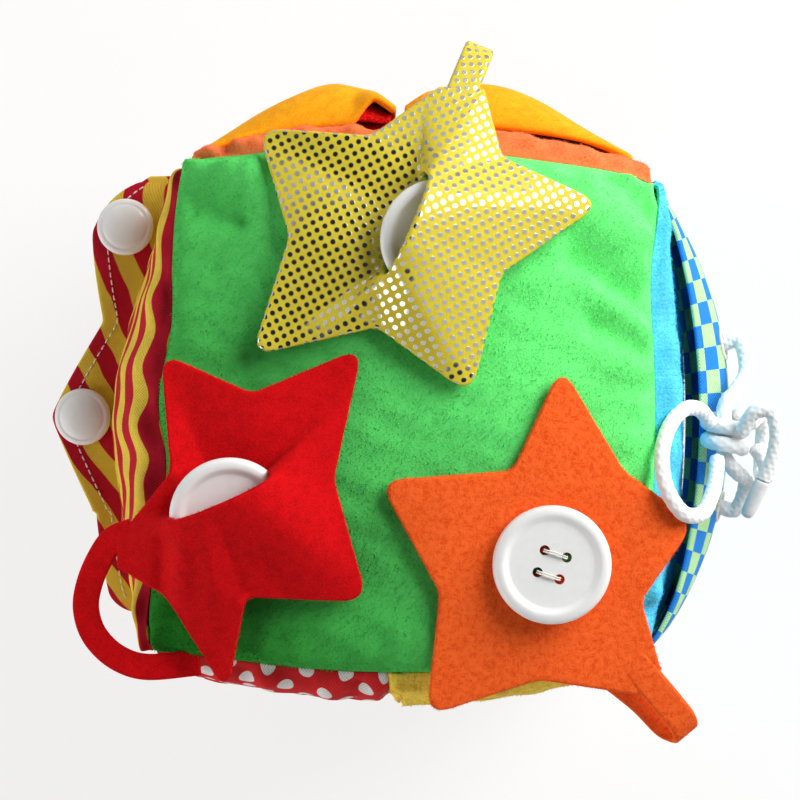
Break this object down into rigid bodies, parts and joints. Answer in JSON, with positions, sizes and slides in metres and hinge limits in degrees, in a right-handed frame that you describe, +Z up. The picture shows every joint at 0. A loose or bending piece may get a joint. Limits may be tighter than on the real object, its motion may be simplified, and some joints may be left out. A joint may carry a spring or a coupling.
{
  "type": "fabric activity dice",
  "caption": "Soft stuffed cube with a different cloth on each face, carrying buttoned felt stars, a snap flap, a laced ribbon and hook-and-loop leaves for practising fastenings.",
  "frame": {"origin": "middle of the flat patch of the plain back face that the cube lies on", "axes": "+Z up out of the green button face, +X towards the laced blue face, +Y towards the orange face"},
  "size_m": [0.1991, 0.1861, 0.1737],
  "materials": {
    "foam": "matte fibre filling",
    "green_plush": "short pile plush",
    "yellow_plush": "short pile plush",
    "striped_cotton": "woven cotton, crimson and mustard stripes",
    "blue_plush": "short pile plush",
    "coral_plush": "short pile plush",
    "spotted_cotton": "woven cotton with white spots",
    "foil_fabric": "yellow cloth with small mirror dots",
    "red_felt": "felt",
    "orange_felt": "felt",
    "white_plastic": "gloss moulded",
    "thread": "cotton thread",
    "checked_ribbon": "woven ribbon, blue and pale green checks",
    "rope": "braided cord",
    "clear_tip": "clear film",
    "yellow_velour": "velour",
    "red_tape": "hook-and-loop tape"
  },
  "bodies": {
    "cube": {"foam_core": "foam", "front_panel": "green_plush", "back_panel": "yellow_plush", "left_panel": "striped_cotton", "right_panel": "blue_plush", "upper_panel": "coral_plush", "lower_panel_spotted": "spotted_cotton", "lower_panel_yellow": "yellow_plush", "lace_band": "checked_ribbon", "lace_strand": "rope", "lace_loop_front": "rope", "lace_loop_rear": "rope", "lace_end": "rope", "lace_knot": "rope", "lace_tip": "clear_tip", "loop_tape": "red_tape", "snap_stud_upper": "white_plastic", "snap_stud_middle": "white_plastic"},
    "star_yellow": {"star_yellow": "foil_fabric"},
    "star_red": {"star_red": "red_felt"},
    "star_orange": {"star_orange": "orange_felt"},
    "button_yellow": {"button_yellow": "white_plastic", "button_thread_yellow": "thread"},
    "button_red": {"button_red": "white_plastic", "button_thread_red": "thread"},
    "button_orange": {"button_orange": "white_plastic", "button_thread_orange": "thread"},
    "snap_flap": {"snap_flap": "striped_cotton", "snap_cap_upper": "white_plastic", "snap_cap_middle": "white_plastic", "snap_socket_upper": "white_plastic", "snap_socket_middle": "white_plastic"},
    "leaf_left": {"leaf_left": "yellow_velour", "hook_tape_left": "red_tape"},
    "leaf_right": {"leaf_right": "yellow_velour", "hook_tape_right": "red_tape"}
  },
  "joints": [
    {"name": "star_yellow_lift", "type": "hinge", "parent": "cube", "child": "star_yellow", "pos_m": [0.0084, 0.066, 0.142], "axis": [-1, 0, 0], "range_deg": [0, 160], "deforming": ["star_yellow"]},
    {"name": "star_red_lift", "type": "hinge", "parent": "cube", "child": "star_red", "pos_m": [-0.0529, -0.0645, 0.1405], "axis": [1, 0, 0], "range_deg": [0, 160], "deforming": ["star_red"]},
    {"name": "star_orange_lift", "type": "hinge", "parent": "cube", "child": "star_orange", "pos_m": [0.0517, -0.0645, 0.1405], "axis": [1, 0, 0], "range_deg": [0, 160], "deforming": ["star_orange"]},
    {"name": "button_yellow_turn", "type": "hinge", "parent": "cube", "child": "button_yellow", "pos_m": [0.00998, 0.04628, 0.16123], "axis": [0.2227, -0.0945, 0.9703], "range_deg": [-30, 30]},
    {"name": "button_red_turn", "type": "hinge", "parent": "cube", "child": "button_red", "pos_m": [-0.04416, -0.02548, 0.16269], "axis": [0.0965, -0.2219, 0.9703], "range_deg": [-30, 30]},
    {"name": "button_orange_turn", "type": "hinge", "parent": "cube", "child": "button_orange", "pos_m": [0.0395, -0.0383, 0.1587], "axis": [0, 0, 1], "range_deg": [-30, 30]},
    {"name": "snap_flap_open", "type": "hinge", "parent": "cube", "child": "snap_flap", "pos_m": [-0.0779, 0, 0.11], "axis": [0, 1, 0], "range_deg": [0, 15]},
    {"name": "leaf_left_open", "type": "hinge", "parent": "cube", "child": "leaf_left", "pos_m": [-0.0576, 0.068, 0.076], "axis": [0, 0, 1], "range_deg": [0, 120]},
    {"name": "leaf_right_open", "type": "hinge", "parent": "cube", "child": "leaf_right", "pos_m": [0.0645, 0.068, 0.076], "axis": [0, 0, -1], "range_deg": [0, 120]}
  ]
}
